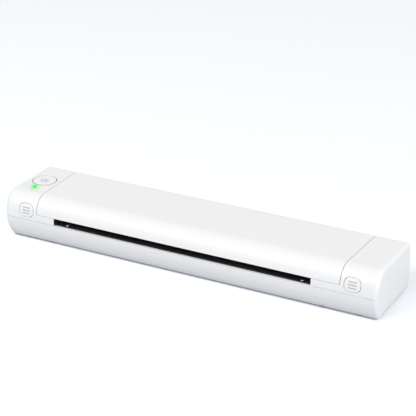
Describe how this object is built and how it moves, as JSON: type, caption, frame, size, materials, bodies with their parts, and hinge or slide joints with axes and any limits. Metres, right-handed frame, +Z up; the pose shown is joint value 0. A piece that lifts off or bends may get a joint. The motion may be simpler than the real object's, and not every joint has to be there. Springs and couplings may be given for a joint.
{
  "type": "portable thermal printer",
  "caption": "Slim battery thermal printer with a rear-hinged lid, a straight paper slot, release buttons at both ends and a geared platen.",
  "frame": {"origin": "middle of the footprint, on the surface that the feet stand on", "axes": "+X along the printer towards the end without the power button, +Y from the feed side to the rear, +Z up; the lid's hinge line runs along X at the rear"},
  "size_m": [0.315, 0.064, 0.038],
  "materials": {
    "shell_white": "glossy moulded white",
    "inner_black": "fine matt moulded black",
    "button_white": "glossy moulded white",
    "light_green": "clear tinted green",
    "foot_rubber": "matt",
    "platen_black": "ground matt",
    "zinc_steel": "bright zinc",
    "sink_aluminium": "extruded",
    "head_ceramic": "glazed line on a fired base",
    "gear_acetal": "natural acetal",
    "board_green": "solder mask",
    "chip_black": "moulded",
    "battery_wrap": "shrink wrap",
    "lead_red": "insulation",
    "lead_black": "insulation",
    "connector_ivory": "moulded"
  },
  "bodies": {
    "base": {"bottom_case": "shell_white", "left_end_housing": "shell_white", "right_end_housing": "shell_white", "left_end_plate": "shell_white", "right_end_plate": "shell_white", "rubber_feet": "foot_rubber", "case_screws": "zinc_steel", "hinge_pins": "zinc_steel", "head_cable_in_base": "lead_black", "platen_bushes": "gear_acetal", "gear_stud": "zinc_steel", "motor": "zinc_steel", "motor_bracket": "zinc_steel", "left_side_frame": "zinc_steel", "right_side_frame": "zinc_steel", "paper_deck": "inner_black", "deck_screws": "zinc_steel", "board_screws": "zinc_steel", "frame_screws": "zinc_steel", "paper_sensor": "chip_black", "battery_pack": "battery_wrap", "battery_lead": "lead_red", "motor_lead": "lead_black", "main_board": "board_green", "board_chips": "chip_black", "board_capacitors": "chip_black", "board_connectors": "connector_ivory", "usb_socket": "zinc_steel", "button_board": "board_green", "power_switch": "chip_black", "status_led": "light_green", "light_pipe": "light_green", "right_push_spring": "zinc_steel", "left_push_spring": "zinc_steel"},
    "cover": {"top_cover": "shell_white", "cover_liner": "inner_black", "cover_screws": "zinc_steel", "head_springs": "zinc_steel", "head_cable_in_lid": "lead_black"},
    "print_head": {"heat_sink": "sink_aluminium", "print_head_strip": "head_ceramic", "head_pivot_pins": "zinc_steel", "head_connector": "connector_ivory"},
    "platen": {"platen_shaft": "zinc_steel", "platen_rubber": "platen_black", "platen_gear": "gear_acetal"},
    "reduction": {"reduction_gear": "gear_acetal"},
    "motor_rotor": {"motor_shaft": "zinc_steel", "motor_pinion": "gear_acetal"},
    "left_push": {"left_push_button": "button_white"},
    "right_push": {"right_push_button": "button_white"},
    "power_cap": {"power_button": "button_white"}
  },
  "joints": [
    {"name": "cover_hinge", "type": "hinge", "parent": "base", "child": "cover", "pos_m": [0, 0.028, 0.0335], "axis": [-1, 0, 0], "range_deg": [0, 80]},
    {"name": "head_pivot", "type": "hinge", "parent": "cover", "child": "print_head", "pos_m": [-0.003, 0.0066, 0.0257], "axis": [-1, 0, 0], "range_deg": [0, 1.5], "stiffness_Nm_per_rad": 0.26, "springref_deg": -11.46, "deforming": ["head_springs"]},
    {"name": "platen_spin", "type": "hinge", "parent": "base", "child": "platen", "pos_m": [-0.003, -0.003, 0.0153], "axis": [1, 0, 0], "continuous": true},
    {"name": "reduction_spin", "type": "hinge", "parent": "base", "child": "reduction", "pos_m": [0.115, 0.00678, 0.01322], "axis": [1, 0, 0], "continuous": true},
    {"name": "motor_spin", "type": "hinge", "parent": "base", "child": "motor_rotor", "pos_m": [0.12, 0.01767, 0.01475], "axis": [1, 0, 0], "continuous": true},
    {"name": "left_push_travel", "type": "slide", "parent": "base", "child": "left_push", "axis": [0, 1, 0], "range_m": [0, 0.0015], "stiffness_N_per_m": 400, "springref_m": -0.002, "deforming": ["left_push_spring"]},
    {"name": "right_push_travel", "type": "slide", "parent": "base", "child": "right_push", "axis": [0, 1, 0], "range_m": [0, 0.0015], "stiffness_N_per_m": 400, "springref_m": -0.002, "deforming": ["right_push_spring"]},
    {"name": "power_button_travel", "type": "slide", "parent": "base", "child": "power_cap", "axis": [0, 0, -1], "range_m": [0, 0.0005], "stiffness_N_per_m": 500, "springref_m": -0.001}
  ],
  "couplings": [
    {"joint": "reduction_spin", "follows": "platen_spin", "ratio": -1.8571},
    {"joint": "motor_spin", "follows": "platen_spin", "ratio": 4.9524}
  ]
}
